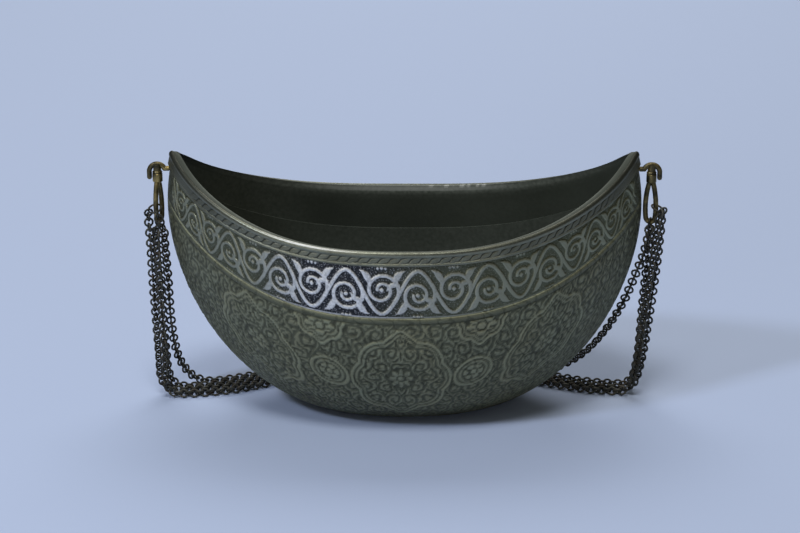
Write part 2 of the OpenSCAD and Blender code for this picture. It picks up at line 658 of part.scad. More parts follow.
// Middles of all the links of a chain, from the left ring to the right ring
function chain_curve(c) = curve(concat(
    [hook_point(-1, c[1], c[2]), hook_point(-1, c[1], c[2]) + hook_lead(-1, c[1], c[2])], c[5],
    [hook_point(1, c[3], c[4]) + hook_lead(1, c[3], c[4]), hook_point(1, c[3], c[4])]));
function chain_links(c) =
    let(
        path = chain_curve(c),
        runs = run_lengths(path),
        whole = runs[len(runs) - 1],
        steps = round(whole / link_pitch)
    )
    [for (i = [0 : steps]) at_length(path, runs, min(whole, whole * i / steps))];

// Turn of each link about the chain: square to the ring at the ends, leaning on the floor
floor_height = 3;
lying_roll = 45;
function link_tangent(links, i) = unit(links[min(len(links) - 1, i + 1)] - links[max(0, i - 1)]);
function side_way(tangent) = unit([0, 1, 0] - tangent[1] * tangent);
function roll_of(tangent, normal) =
    atan2(normal * cross(tangent, side_way(tangent)), normal * side_way(tangent));
function near_roll(roll) = roll - 180 * round((roll - lying_roll) / 180);
function ease(s) = s <= 0 ? 0 : s >= 1 ? 1 : s * s * (3 - 2 * s);
function first_lying(links) = min([for (i = [0 : len(links) - 1]) if (links[i][2] < floor_height) i]);
function last_lying(links) = max([for (i = [0 : len(links) - 1]) if (links[i][2] < floor_height) i]);

module chain(c, part) {
    links = chain_links(c);
    last = len(links) - 1;
    from = first_lying(links);
    to = last_lying(links);
    left_roll = near_roll(roll_of(link_tangent(links, 0), hook_wire(-1, c[1], c[2])));
    right_roll = near_roll(roll_of(link_tangent(links, last), hook_wire(1, c[3], c[4])) - 90 * (last % 2));
    range = part == "left" ? [0 : from - 1] : part == "floor" ? [from : to] : [to + 1 : last];
    color("#35302d") for (i = range) {
        tangent = link_tangent(links, i);
        side = side_way(tangent);
        rise = cross(tangent, side);
        hang = i < from ? left_roll + (lying_roll - left_roll) * ease(i / from)
            : i > to ? right_roll + (lying_roll - right_roll) * ease((last - i) / (last - to))
            : lying_roll;
        roll = hang + 90 * (i % 2);
        normal = cos(roll) * side + sin(roll) * rise;
        across = cross(normal, tangent);
        multmatrix([
            [tangent[0], across[0], normal[0], links[i][0]],
            [tangent[1], across[1], normal[1], links[i][1]],
            [tangent[2], across[2], normal[2], links[i][2]],
            [0, 0, 0, 1]]) wire_ring(link_radius, link_wire, $fn = link_facets);
    }
}

module chain_a_left() { chain(CHAINS[0], "left"); }
module chain_a_floor() { chain(CHAINS[0], "floor"); }
module chain_a_right() { chain(CHAINS[0], "right"); }
module chain_b_left() { chain(CHAINS[1], "left"); }
module chain_b_floor() { chain(CHAINS[1], "floor"); }
module chain_b_right() { chain(CHAINS[1], "right"); }
module chain_c_left() { chain(CHAINS[2], "left"); }
module chain_c_floor() { chain(CHAINS[2], "floor"); }
module chain_c_right() { chain(CHAINS[2], "right"); }
module chain_d_left() { chain(CHAINS[3], "left"); }
module chain_d_floor() { chain(CHAINS[3], "floor"); }
module chain_d_right() { chain(CHAINS[3], "right"); }

bowl_shell();
rim_strip_front();
rim_strip_back();
prow_rivet_left();
prow_rivet_right();
arm_left();
arm_right();
arm_rove_left();
arm_rove_right();
swivel_pin_left();
swivel_pin_right();
swivel_collar_left();
swivel_collar_right();
shackle_left();
shackle_right();
foot_ring_left();
foot_ring_right();
side_ring_left();
side_ring_right();
chain_a_left();
chain_a_floor();
chain_a_right();
chain_b_left();
chain_b_floor();
chain_b_right();
chain_c_left();
chain_c_floor();
chain_c_right();
chain_d_left();
chain_d_floor();
chain_d_right();
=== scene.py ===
import math

import bpy
import numpy as np
from mathutils import Matrix, Vector


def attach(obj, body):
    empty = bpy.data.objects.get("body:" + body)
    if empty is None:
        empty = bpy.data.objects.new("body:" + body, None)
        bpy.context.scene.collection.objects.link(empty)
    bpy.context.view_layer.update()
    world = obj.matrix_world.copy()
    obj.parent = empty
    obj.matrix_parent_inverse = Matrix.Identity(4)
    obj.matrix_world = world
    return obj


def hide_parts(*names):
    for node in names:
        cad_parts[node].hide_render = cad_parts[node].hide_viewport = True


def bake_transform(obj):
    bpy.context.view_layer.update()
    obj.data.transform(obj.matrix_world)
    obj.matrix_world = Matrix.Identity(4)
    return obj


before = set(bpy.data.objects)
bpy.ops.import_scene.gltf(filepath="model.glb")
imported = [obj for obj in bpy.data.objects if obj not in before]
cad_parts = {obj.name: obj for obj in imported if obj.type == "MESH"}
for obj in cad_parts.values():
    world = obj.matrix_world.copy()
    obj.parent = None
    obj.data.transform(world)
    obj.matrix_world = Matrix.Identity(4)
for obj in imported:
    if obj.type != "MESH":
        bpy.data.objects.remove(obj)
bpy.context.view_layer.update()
bpy.ops.object.select_all(action="DESELECT")

# Bowl
# Raised from one sheet of copper and tinned inside and out. Below a plain fillet the belly is chased all over
# with lobed medallions, rosettes and leaf scrolls. Wear has left the high places pale and the ground dark.
mm = 0.001
half_length = 150 * mm
half_width = 74 * mm
wall = 1.6 * mm
prow_wall = 3.6 * mm
base_half_length = 46 * mm
base_half_width = 24 * mm
rim_height_mid = 125 * mm
rim_height_prow = 164 * mm
prow_lift = 4 * mm
shoulder_drop = 36 * mm
lean_mid = 2 * mm
lean_prow = 5 * mm
sheer_power = 2.75
prow_lift_power = 18
plan_power = 2.4
plan_bluntness = 0.85
bilge_power = 1.85
lean_power = 6
fillet_drop_mid = 41.6 * mm
fillet_drop_prow = 30.4 * mm
fillet_power = 2.25
fillet_height = 4 * mm
strip_height = 8.6 * mm
strip_slope_fade = 16

# Half length, half width, base half length, base half width and floor height of the two skins
outside = (half_length, half_width, base_half_length, base_half_width, 0)
inside = (half_length - prow_wall, half_width - wall, base_half_length - wall, base_half_width - wall, wall)


def rim_height(along):
    """Height of the lip at shares along the bowl, from -1 at the left prow to 1 at the right prow."""
    climb = (rim_height_prow - rim_height_mid) * np.abs(along) ** sheer_power
    return rim_height_mid + climb + prow_lift * np.abs(along) ** prow_lift_power


def fillet_drop(along):
    return fillet_drop_mid + (fillet_drop_prow - fillet_drop_mid) * np.abs(along) ** fillet_power


def strip_drop(along):
    """Drop of the rim strip's lower edge, which is longer where the lip is steep."""
    slope = (rim_height_prow - rim_height_mid) * sheer_power / half_length
    slope = slope * np.abs(along) ** (sheer_power - 1) * (1 - np.abs(along) ** strip_slope_fade)
    return strip_height * np.sqrt(1 + slope ** 2)


def wall_points(skin, along, drop, out):
    """Points on the front half of a skin, by drop below the lip, moved out of the wall."""
    long, wide, base_long, base_wide, floor = skin
    height = rim_height(along) - floor
    share = np.minimum(1, drop / height)
    shoulder = shoulder_drop / height
    fall = np.maximum(0, (share - shoulder) / (1 - shoulder))
    spread = np.maximum(0, 1 - fall ** bilge_power) ** (1 / bilge_power)
    lean = lean_mid + (lean_prow - lean_mid) * np.abs(along) ** lean_power
    push = out - lean * np.maximum(0, 1 - share / shoulder) ** 2
    plan = np.maximum(0, 1 - np.abs(along) ** plan_power) ** plan_bluntness
    base_x = base_long * along
    base_y = base_wide * np.sqrt(1 - along ** 2)
    x = base_x + (long * along - base_x) * spread
    y = base_y + (wide * plan - base_y) * spread
    places = (x * (1 + push / long), -y * (1 + push / wide), floor + height * (1 - share))
    return np.stack(np.broadcast_arrays(*places), axis=-1)


def run_of(points, axis):
    """Length run along an array of points, from its first row or column."""
    steps = np.linalg.norm(np.diff(points, axis=axis), axis=-1)
    start = np.zeros_like(np.take(steps, [0], axis=axis))
    return np.concatenate([start, np.cumsum(steps, axis=axis)], axis=axis)


trace_points = 4001
trace_rows = 241


def even_stations(count, drop):
    """Shares along the bowl that space columns evenly, prow to prow, at a drop below the lip."""
    fine = np.sin(np.linspace(-math.pi / 2, math.pi / 2, trace_points))
    run = run_of(wall_points(outside, fine, drop, 0), 0)
    stations = np.interp(np.linspace(0, run[-1], count + 1), run, fine)
    return 0.5 * (stations - stations[::-1])


def even_drops(along, first, last, count):
    """Drops that space rows evenly down the wall, and how far down the wall each row lies."""
    drops = first + (last - first) * np.sin(np.linspace(0, math.pi / 2, trace_rows))[:, None]
    run = run_of(wall_points(outside, along, drops, 0), 0)
    down = np.linspace(0, 1, count)[:, None] * run[-1]
    even = [np.interp(down[:, i], run[:, i], drops[:, i]) for i in range(len(along))]
    return np.stack(even, axis=1), down


def outward(points):
    """Outward directions of an array of points on the front of the bowl, whose rows go down the wall."""
    normals = np.cross(np.gradient(points, axis=0), np.gradient(points, axis=1))
    return normals / np.maximum(np.linalg.norm(normals, axis=-1, keepdims=True), 1e-12)


def all_round(front):
    """The front half's rows, carried on round the back by mirroring."""
    mirror = np.array([1, -1, 1]) if front.ndim == 3 else 1
    return np.concatenate([front, front[:, -2::-1] * mirror], axis=1)


def laid_grid(name, points, relief):
    """A grid whose vertices are laid, row by row, on an array of points, with its relief kept beside them."""
    rows, columns = relief.shape
    bpy.ops.mesh.primitive_grid_add(x_subdivisions=columns - 1, y_subdivisions=rows - 1)
    piece = bpy.context.object
    piece.name = name
    piece.data.vertices.foreach_set("co", points.reshape(-1))
    layer = piece.data.attributes.new("relief", "FLOAT", "POINT")
    layer.data.foreach_set("value", relief.reshape(-1))
    return piece


def close_up(piece, crease):
    """Welds the edges of a grid that meet, caps the ends that don't and turns all faces outwards."""
    bpy.ops.object.mode_set(mode="EDIT")
    bpy.ops.mesh.select_all(action="SELECT")
    bpy.ops.mesh.remove_doubles(threshold=0.001 * mm)
    bpy.ops.mesh.select_all(action="SELECT")
    bpy.ops.mesh.fill_holes(sides=0)
    bpy.ops.mesh.select_all(action="SELECT")
    bpy.ops.mesh.normals_make_consistent(inside=False)
    bpy.ops.object.mode_set(mode="OBJECT")
    bpy.ops.object.shade_smooth_by_angle(angle=math.radians(crease))


def ease(share):
    """A share from 0 to 1, with soft ends."""
    share = np.clip(share, 0, 1)
    return share * share * (3 - 2 * share)


def fading(distance, start, length):
    """0 up to a distance, and from there rising to 1 over a length."""
    return ease((distance - start) / length)


def ridge(distance, half, slope):
    """Relief of a raised line: 1 over its half width, falling to 0 over its slope."""
    return ease((half + slope - distance) / slope)


def leaf_scroll(u, v, cell):
    """Relief of curling stems with leaves, one curl to a cell, turning left and right by turns."""
    row_pitch = 0.87 * cell
    turn_gap = 0.28 * cell
    eye_radius = 0.3 * turn_gap
    leaf_rate = 3.5
    stem_slope = 0.75
    eye_slope = 0.7
    row = np.round(v / row_pitch)
    odd = 0.5 * (row % 2)
    column = np.round(u / cell - odd)
    du = u - (column + odd) * cell
    dv = v - row * row_pitch
    radius = np.hypot(du, dv)
    angle = np.arctan2(dv, du) * np.where((row + column) % 2 == 0, 1, -1)
    winding = radius / turn_gap - angle / (2 * math.pi)
    turn = np.round(winding)
    leaf = np.maximum(0, np.sin(leaf_rate * (angle + 2 * math.pi * turn))) ** 2
    stem_half = turn_gap * (0.08 + 0.2 * leaf)
    stem = ridge(np.abs(winding - turn) * turn_gap, stem_half, stem_slope)
    return np.maximum(stem, ridge(radius, eye_radius, eye_slope))


def rosette(u, v, radius, petals):
    """Relief of a round flower: an eye and a ring of petals."""
    eye_radius = 0.2 * radius
    eye_slope = 0.8
    petal_root = 0.3 * radius
    petal_slope = 0.9
    angle = np.arctan2(v, u)
    reach = np.hypot(u, v)
    lobe = np.abs(np.cos(0.5 * petals * angle))
    petal_tip = radius * (0.5 + 0.4 * lobe)
    petal = ridge(reach, petal_tip, petal_slope) * ease(1.8 * lobe) * fading(reach, petal_root, petal_slope)
    return np.maximum(petal, ridge(reach, eye_radius, eye_slope))


def lobed_edge(u, v, half_wide, half_high):
    """Distance out from the edge of an eight-lobed medallion with a pointed top and foot."""
    waist = 0.87
    lobe_height = 0.09
    point_spread = 0.13
    angle = np.arctan2(v / half_high, u / half_wide)
    point = np.exp(-((np.abs(angle) - math.pi / 2) / point_spread) ** 2)
    edge = waist + lobe_height * (np.abs(np.cos(4 * angle)) + point)
    return (np.hypot(u / half_wide, v / half_high) - edge) * 0.5 * (half_wide + half_high)


def bordered(relief, distance, filling):
    """Sets a filled shape into the ornament, with a double raised border on its edge."""
    line_gap = 3.0
    line_slope = 0.8
    inner_height = 0.85
    outer_line = ridge(np.abs(distance), 0.7, line_slope)
    inner_line = inner_height * ridge(np.abs(distance + line_gap), 0.5, line_slope)
    cleared = fading(np.abs(distance + 0.5 * line_gap), 2.9, 0.9)
    ornament = np.where(distance < 0, filling, relief) * cleared
    return np.maximum(ornament, np.maximum(outer_line, inner_line))


side_columns = 380
belly_rows = 96
stations = even_stations(side_columns, fillet_drop_mid)
belly_top = fillet_drop(stations) + fillet_height
belly_drops, down_wall = even_drops(stations, belly_top, rim_height(stations), belly_rows)
belly = wall_points(outside, stations, belly_drops, 0)
run = run_of(belly, 1)
across_wall = run - run[:, side_columns // 2][:, None]
u_belly = across_wall / mm
v_belly = down_wall / mm


def from_station(along):
    """Distances along each row of the belly from one station, in millimetres."""
    middles = [np.interp(along, stations, row) for row in u_belly]
    return u_belly - np.array(middles)[:, None]


def wave(place, length, shift=0):
    """A sine wave that goes on by one radian over its length."""
    return np.sin(place / length + shift)


def hand_drawn(u, v):
    """Flat places pushed about by a millimetre or two, as a chaser's freehand drawing is."""
    u_drift = 1.6 * wave(v, 7.3, 0.8 * wave(u, 11)) + 1.2 * wave(u, 6.1, 1.1)
    v_drift = 1.5 * wave(u, 8.2, 0.6 * wave(v, 9.7)) + 0.9 * wave(v, 5.3)
    return u + u_drift, v + v_drift


scroll_cell = 12.5
scroll_height = 0.72
scroll_across = 3
scroll_up = 4
u_drawn, v_drawn = hand_drawn(u_belly, v_belly)
chasing = scroll_height * leaf_scroll(u_drawn - scroll_across, v_drawn + scroll_up, scroll_cell)

# Medallions: share along the bowl, distance under the fillet, half width and half height in millimetres
medallions = ((0, 40, 32, 34), (-0.64, 35, 27, 31), (0.64, 35, 27, 31))
filling_cell = 0.9 * scroll_cell
filling_height = 0.8
flower_height = 0.85
flower_clear = 8.5
for place, depth, half_wide, half_high in medallions:
    u = from_station(place)
    v = v_belly - depth
    filling = filling_height * leaf_scroll(*hand_drawn(np.abs(u) - 0.5 * scroll_cell, v), filling_cell)
    filling *= fading(np.hypot(u, v), flower_clear, 1.2)
    filling = np.maximum(filling, flower_height * rosette(u, v, radius=8, petals=8))
    chasing = bordered(chasing, lobed_edge(u, v, half_wide, half_high), filling)

# Half rosettes that hang from the fillet between the medallions, and round ones below them
rosette_place = 0.335
pendant_depth = -2
pendant_flower_depth = 5
round_depth = 39
round_radius = 11
for place in (-rosette_place, rosette_place):
    u = from_station(place)
    pendant_edge = lobed_edge(u, v_belly - pendant_depth, half_wide=17, half_high=19)
    pendant_flower = rosette(u, v_belly - pendant_flower_depth, radius=11, petals=10)
    chasing = bordered(chasing, pendant_edge, pendant_flower)
    v = v_belly - round_depth
    chasing = bordered(chasing, np.hypot(u, v) - round_radius, rosette(u, v, radius=8, petals=6))

# A row of pointed leaves stands round the base, and the chasing fades at the prows, the fillet and the foot
leaves_to_prow = 20 / 3
leaf_foot = 6
leaf_height = 9
foot_relief = 0.25
from_base = down_wall[-1] / mm - v_belly
leaf_share = np.abs((u_belly / u_belly[-1, -1] * leaves_to_prow) % 1 - 0.5) * 2
leaf_edge = leaf_foot + leaf_height * np.sqrt(leaf_share)
chasing = np.where(from_base < leaf_edge, 0, chasing)
chasing = np.maximum(chasing, ridge(np.abs(from_base - leaf_edge), 0.5, 0.8))
from_prow = (np.abs(across_wall[:, -1:]) - np.abs(across_wall)) / mm
chasing *= fading(from_prow, 1.5, 3) * fading(v_belly, 0, 1.5) * fading(from_base, 3, 2)
chasing *= foot_relief + (1 - foot_relief) * fading(from_base, 8, 26)

chasing_depth = 0.75 * mm
belly = belly + outward(belly) * (chasing * chasing_depth)[:, :, None]

# Fillet: drop below its top and height out of the wall in millimetres, and tone from dark to worn
fillet_section = ((3.8, 0.55, 0.3), (3.4, 0.85, 0.3), (2.0, 0.95, 0.35), (0.6, 0.85, 0.5), (0.2, 0.5, 0.65),
                  (0, -0.3, 0))
fillet_fade_power = 24
fillet_fade = 1 - np.abs(stations) ** fillet_fade_power
fillet = []
for drop, out, _ in fillet_section:
    fade = fillet_fade if out > 0 else 1
    fillet.append(wall_points(outside, stations, fillet_drop(stations) + drop * mm, out * mm * fade))

# Rows go up behind the frieze to the lip, which is rounded off inside at the tips
behind_frieze = -0.3 * mm
backing_shares = (0.66, 0.33, 0)
backing = []
for share in backing_shares:
    backing_drop = fillet_drop(stations) * share + strip_drop(stations) * (1 - share)
    backing.append(wall_points(outside, stations, backing_drop, behind_frieze))
lip_crown = 0.35 * mm
tip_drop = 1.7 * mm
tip_power = 60
tip_top_share = 0.25
lip_outer = wall_points(outside, stations, 0, 0)
lip_inner = wall_points(inside, stations, -wall, 0)
lip_inner[:, 2] = lip_outer[:, 2]
lip_top = 0.5 * (lip_outer + lip_inner) + np.array([0, 0, lip_crown])
tip_rounding = tip_drop * np.abs(stations) ** tip_power
lip_inner[:, 2] -= tip_rounding
lip_top[:, 2] -= tip_top_share * tip_rounding

# The inside steps in behind the frieze and runs on to the floor
step_above_fillet = 11.6 * mm
step_edge = 0.3 * mm
step_in = 0.7 * mm
hollow_shares = (0.07, 0.12, 0.17, 0.23, 0.35, 0.5, 0.75, 1)
rows_below_step = 13
step_drop = fillet_drop(stations) - step_above_fillet
hollow = [wall_points(inside, stations, step_drop * share, 0) for share in hollow_shares]
below_step = step_drop + step_edge
for share in np.sin(np.linspace(0, math.pi / 2, rows_below_step)):
    inner_drop = below_step + (rim_height(stations) - wall - below_step) * share
    hollow.append(wall_points(inside, stations, inner_drop, -step_in * (1 - share)))
skin = np.concatenate([belly[::-1], np.stack(fillet + backing + [lip_outer, lip_top, lip_inner] + hollow)])

# Tones of the rows: chasing, fillet, worn lip and band under it, inside below the step, and painted light and
# shade
bowl_relief = np.zeros(skin.shape[:2])
bowl_relief[:belly_rows] = chasing[::-1]
for row, (_, _, tone) in enumerate(fillet_section):
    bowl_relief[belly_rows + row] = tone
lip_row = belly_rows + len(fillet) + len(backing)
lip_inner_row = lip_row + 2
step_row = lip_inner_row + 1 + len(hollow_shares)
# The lip and the band under it darken toward the prows, partly from less wear and partly as painted shade.
lip_wear_and_prow_shade = 1 - 0.95 * np.abs(stations) ** 2
band_wear = (1.25, 1.35, 1.25, 0.6, 0.15)
dark_row = lip_inner_row + len(band_wear) - 1
painted_light_left = 0.3
painted_light_below_step = 0.2
glint_middle = 35


def bell(distance, spread):
    """1 at no distance, falling off alike to both sides."""
    return np.exp(-(distance / spread) ** 2)


def painted_highlight_along(x):
    """How bright the rim's painted highlight is along the bowl, brightest left of the middle."""
    brightest = -50
    return 0.4 + 0.6 * bell(x / mm - brightest, 55)


# Painted highlight on the lip left of the middle, and painted shade toward the prows.
bowl_relief[lip_row:lip_inner_row] = 0.5 * lip_wear_and_prow_shade * painted_highlight_along(lip_outer[:, 0])
for row, wear in enumerate(band_wear):
    bowl_relief[lip_inner_row + row] = wear * lip_wear_and_prow_shade
# Painted glints: short bright dashes on the inner edge of the lip, right of the middle.
lip_x = lip_outer[:, 0] / mm
painted_glints = np.clip(wave(lip_x, 1.9) + wave(lip_x, 0.83, 1), 0, 1) * ridge(np.abs(lip_x - glint_middle), 16, 8)
bowl_relief[lip_inner_row] += 0.9 * painted_glints
# Painted light: the inside under the band is lightened toward the left end.
bowl_relief[dark_row:step_row] += painted_light_left * fading(-lip_x, 50, 50)
# Painted light: the inside below the step is paler, as it faces up.
bowl_relief[step_row:] = painted_light_below_step
bowl = laid_grid("bowl", all_round(skin), all_round(bowl_relief))


def new_material(name):
    material = bpy.data.materials.new(name)
    material.use_nodes = True
    return material


def add_node(material, kind, **settings):
    """Adds a shader node. A setting is one of its sockets, or else one of its own properties."""
    node = material.node_tree.nodes.new("ShaderNode" + kind)
    for name, value in settings.items():
        socket = node.inputs.get(name.replace("_", " ").title())
        if socket:
            socket.default_value = value
        else:
            setattr(node, name, value)
    return node


def connect(material, source, target):
    material.node_tree.links.new(source, target)


def pattern(material, kind, scale, output, **settings):
    """A texture on the piece's own coordinates, in repeats to a metre."""
    place = add_node(material, "TexCoord")
    texture = add_node(material, kind, scale=scale, **settings)
    connect(material, place.outputs["Object"], texture.inputs["Vector"])
    return texture.outputs[output]


def ramp(material, source, *stops):
    """Colours along a value: each stop is a place from 0 to 1 and a linear colour."""
    node = add_node(material, "ValToRGB")
    elements = node.color_ramp.elements
    while len(elements) < len(stops):
        elements.new(0.5)
    for element, (place, colour) in zip(elements, stops):
        element.position = place
        element.color = (*colour, 1)
    connect(material, source, node.inputs["Fac"])
    return node.outputs["Color"]


def grey(material, source, low, high, start=0.3, end=0.7):
    """A value spread between two levels, where the source goes from start to end."""
    node = add_node(material, "MapRange", clamp=True)
    for name, value in (("From Min", start), ("From Max", end), ("To Min", low), ("To Max", high)):
        node.inputs[name].default_value = value
    connect(material, source, node.inputs["Value"])
    return node.outputs["Result"]


def mixed(material, share, first, second, blend="MIX"):
    """Two colours mixed by a share, which is a socket or a number."""
    node = add_node(material, "Mix", data_type="RGBA", blend_type=blend)
    for value, socket in ((share, node.inputs[0]), (first, node.inputs[6]), (second, node.inputs[7])):
        if isinstance(value, bpy.types.NodeSocket):
            connect(material, value, socket)
        elif isinstance(value, tuple):
            socket.default_value = (*value, 1)
        else:
            socket.default_value = value
    return node.outputs[2]


# The relief attribute carries tones as well as height, among them painted highlights, glints, light and
# shade.
def kept_relief(material):
    return add_node(material, "Attribute", attribute_name="relief").outputs["Fac"]


def finish_metal(material, colour, roughness, bump_source, metallic, bump_depth):
    """Connects a metal's colour, roughness and fine bump, and sets how metallic it is."""
    shader = material.node_tree.nodes["Principled BSDF"]
    shader.inputs["Metallic"].default_value = metallic
    connect(material, colour, shader.inputs["Base Color"])
    connect(material, roughness, shader.inputs["Roughness"])
    bump = add_node(material, "Bump", distance=bump_depth, strength=1.0)
    connect(material, bump_source, bump.inputs["Height"])
    connect(material, bump.outputs["Normal"], shader.inputs["Normal"])


def speckled(material, colour, grain):
    """A colour darkened in fine specks."""
    specks = ramp(material, grain, (0.3, (0.4, 0.4, 0.38)), (0.7, (1, 1, 1)))
    return mixed(material, 0.4, colour, specks, "MULTIPLY")


def polish_and_highlight(material, colour, bright):
    """A colour that goes over to bright metal where the kept relief passes 1: polish on the worn band, and
    painted highlights and glints.
    """
    return mixed(material, grey(material, kept_relief(material), 0, 1, 1, 1.6), colour, bright)


def chased_tin():
    """Old tinning on chased copper: dull olive, dark in the ground and in fine curls, stained in clouds."""
    material = new_material("chased_tin")
    clouds = pattern(material, "TexNoise", 22, "Fac", detail=5)
    grain = pattern(material, "TexNoise", 900, "Fac", detail=3)
    curls = pattern(material, "TexWave", 60, "Fac", bands_direction="DIAGONAL", distortion=11, detail=2,
                    detail_scale=1.8)
    high = ramp(material, clouds, (0.3, (0.265, 0.258, 0.158)), (0.5, (0.28, 0.296, 0.197)),
                (0.72, (0.29, 0.28, 0.166)))
    ground = ramp(material, clouds, (0.3, (0.086, 0.09, 0.056)), (0.7, (0.112, 0.117, 0.075)))
    worked = mixed(material, grey(material, kept_relief(material), 0, 1, 0.1, 0.95), ground, high)
    lines = ramp(material, curls, (0.06, (0.55, 0.55, 0.53)), (0.3, (1, 1, 1)))
    below_borders = grey(material, kept_relief(material), 0.7, 0, 0.8, 0.95)
    cut = mixed(material, below_borders, worked, lines, "MULTIPLY")
    colour = speckled(material, cut, grain)
    depth = mixed(material, 0.4, curls, grain)
    finish_metal(material, colour, grey(material, grain, 0.38, 0.6), depth, metallic=0.6, bump_depth=0.0002)
    return material


def dark_tin():
    """The inside: tinning gone nearly black, paler where hands have worn it under the lip and where light is
    painted.
    """
    material = new_material("dark_tin")
    clouds = pattern(material, "TexNoise", 16, "Fac", detail=4)
    grain = pattern(material, "TexNoise", 420, "Fac", detail=4)
    deep = ramp(material, clouds, (0.3, (0.037, 0.043, 0.034)), (0.7, (0.054, 0.062, 0.05)))
    # The worn colour also stands for painted light, on the inside's left and below the step.
    worn = ramp(material, grain, (0.3, (0.11, 0.126, 0.105)), (0.7, (0.19, 0.208, 0.178)))
    colour = mixed(material, kept_relief(material), deep, worn)
    colour = polish_and_highlight(material, colour, (0.6, 0.62, 0.58))
    finish_metal(material, colour, grey(material, grain, 0.38, 0.6), grain, metallic=0.3, bump_depth=0.00006)
    material.node_tree.nodes["Principled BSDF"].inputs["Specular IOR Level"].default_value = 0.15
    return material


bowl.data.materials.append(chased_tin())
bowl.data.materials.append(dark_tin())
rows, columns = skin.shape[0], 2 * side_columns
face_rows = np.repeat(np.arange(rows - 1), columns)
bowl.data.polygons.foreach_set("material_index", (face_rows >= lip_row).astype(np.int32))
close_up(bowl, crease=50)
for face in bowl.data.polygons:
    if len(face.vertices) > 4:
        face.material_index = 1 if face.center.z > 0.5 * wall else 0
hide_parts("bowl_shell")
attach(bowl, "bowl")

# Frieze
# Band of the same sheet between the rim strip and the fillet. A running vine with curled shoots, leaves and
# berries is chased up out of a sunk, punched ground that has gone dark, and its strokes are worn tin. Left of
# the middle a highlight and a dark reflection are painted on strokes and ground.
frieze_columns = 900
frieze_rows = 44
frieze_middle = 25 * mm
under_strip = 0.3 * mm
behind_fillet = 0.12 * mm
frieze_stations = even_stations(frieze_columns, frieze_middle)
frieze_top = strip_drop(frieze_stations) - under_strip
frieze_foot = fillet_drop(frieze_stations) + behind_fillet
frieze_drops, _ = even_drops(frieze_stations, frieze_top, frieze_foot, frieze_rows)
band = wall_points(outside, frieze_stations, frieze_drops, 0)
vine_height = (fillet_drop_mid - strip_height) / mm
vine_period = 44.0
vine_rise = 0.41 * vine_height
stem_half = 1.0
stem_points = 49
shoot_start = 38
shoot_turn = 480
shoot_sweep = 1.2
shoot_reach = 0.33
shoot_closing = 0.63
shoot_points = 48
leaf_points = 9
berry_reach = 0.42

# Leaves on a curl: degrees and reach of root and tip, sideways bow, and half width in millimetres
curl_leaves = ((-150, 0.27, -138, 0.56, 0.15, 1.5), (-30, 0.30, -40, 0.56, -0.18, 1.5),
               (150, 0.40, 172, 0.58, -0.2, 1.2))


def round_curl(middle, way, degrees, reach):
    """Points round a curl's middle, by degrees and by reach as a share of the vine's height."""
    angle = np.radians(degrees) * way
    spoke = np.stack([np.cos(angle), np.sin(angle)], axis=-1)
    return middle + vine_height * np.asarray(reach)[..., None] * spoke


def vine_leaf(root, tip, bow, half):
    """Points and half widths of a pointed leaf, bowed sideways."""
    share = np.linspace(0, 1, leaf_points)
    stalk = tip - root
    bend = (4 * bow * share * (1 - share))[:, None] * np.array([-stalk[1], stalk[0]])
    swell = 0.25 + 1.1 * np.sin(math.pi * np.clip(0.92 * share + 0.08, 0, 1)) ** 1.2
    taper = 1 - 0.75 * share ** 3
    return root + share[:, None] * stalk + bend, half * swell * taper


def vine_repeat():
    """One repeat of the vine: its lines as points with half widths, and its berries as middles with radii."""
    share = np.linspace(0, 1, stem_points)
    stem = np.stack([share * vine_period, vine_rise * np.sin(2 * math.pi * share)], axis=1)
    lines = [(stem, np.full(stem_points, stem_half))]
    berries = []
    for middle_x, way in ((0.25 * vine_period, 1), (0.75 * vine_period, -1)):
        middle = np.array([middle_x, -0.05 * vine_height * way])
        sweep = np.linspace(0, shoot_sweep, shoot_points)
        reach = shoot_reach * (1 - shoot_closing * sweep)
        shoot = round_curl(middle, way, shoot_start - shoot_turn * sweep, reach)
        lines.append((shoot, stem_half - 0.2 * sweep))
        for root_turn, root_reach, tip_turn, tip_reach, bow, half in curl_leaves:
            root = round_curl(middle, way, root_turn, root_reach)
            tip = round_curl(middle, way, tip_turn, tip_reach)
            lines.append(vine_leaf(root, tip, bow * way, half))
        berries.append((middle, 1.1))
        for turn, radius in ((-100, 0.7), (-90, 0.9), (-80, 0.7)):
            berries.append((round_curl(middle, way, turn, berry_reach), radius))
    return lines, berries


def vine_relief(x, y):
    """Relief of the running vine over flat places, in millimetres."""
    slope = 0.55
    stroke_reach = 5
    relief = np.zeros_like(x)
    x = x % vine_period
    lines, berries = vine_repeat()
    for shift in (-vine_period, 0, vine_period):
        for points, halves in lines:
            for k in range(len(points) - 1):
                start = points[k] + np.array([shift, 0])
                step = points[k + 1] - points[k]
                near = (np.abs(x - start[0]) < stroke_reach) & (np.abs(y - start[1]) < stroke_reach)
                du, dv = x[near] - start[0], y[near] - start[1]
                share = np.clip((du * step[0] + dv * step[1]) / (step @ step), 0, 1)
                distance = np.hypot(du - share * step[0], dv - share * step[1])
                half = halves[k] + (halves[k + 1] - halves[k]) * share
                relief[near] = np.maximum(relief[near], ridge(distance, half, slope))
        for middle, radius in berries:
            relief = np.maximum(relief, ridge(np.hypot(x - middle[0] - shift, y - middle[1]), radius, slope))
    return relief


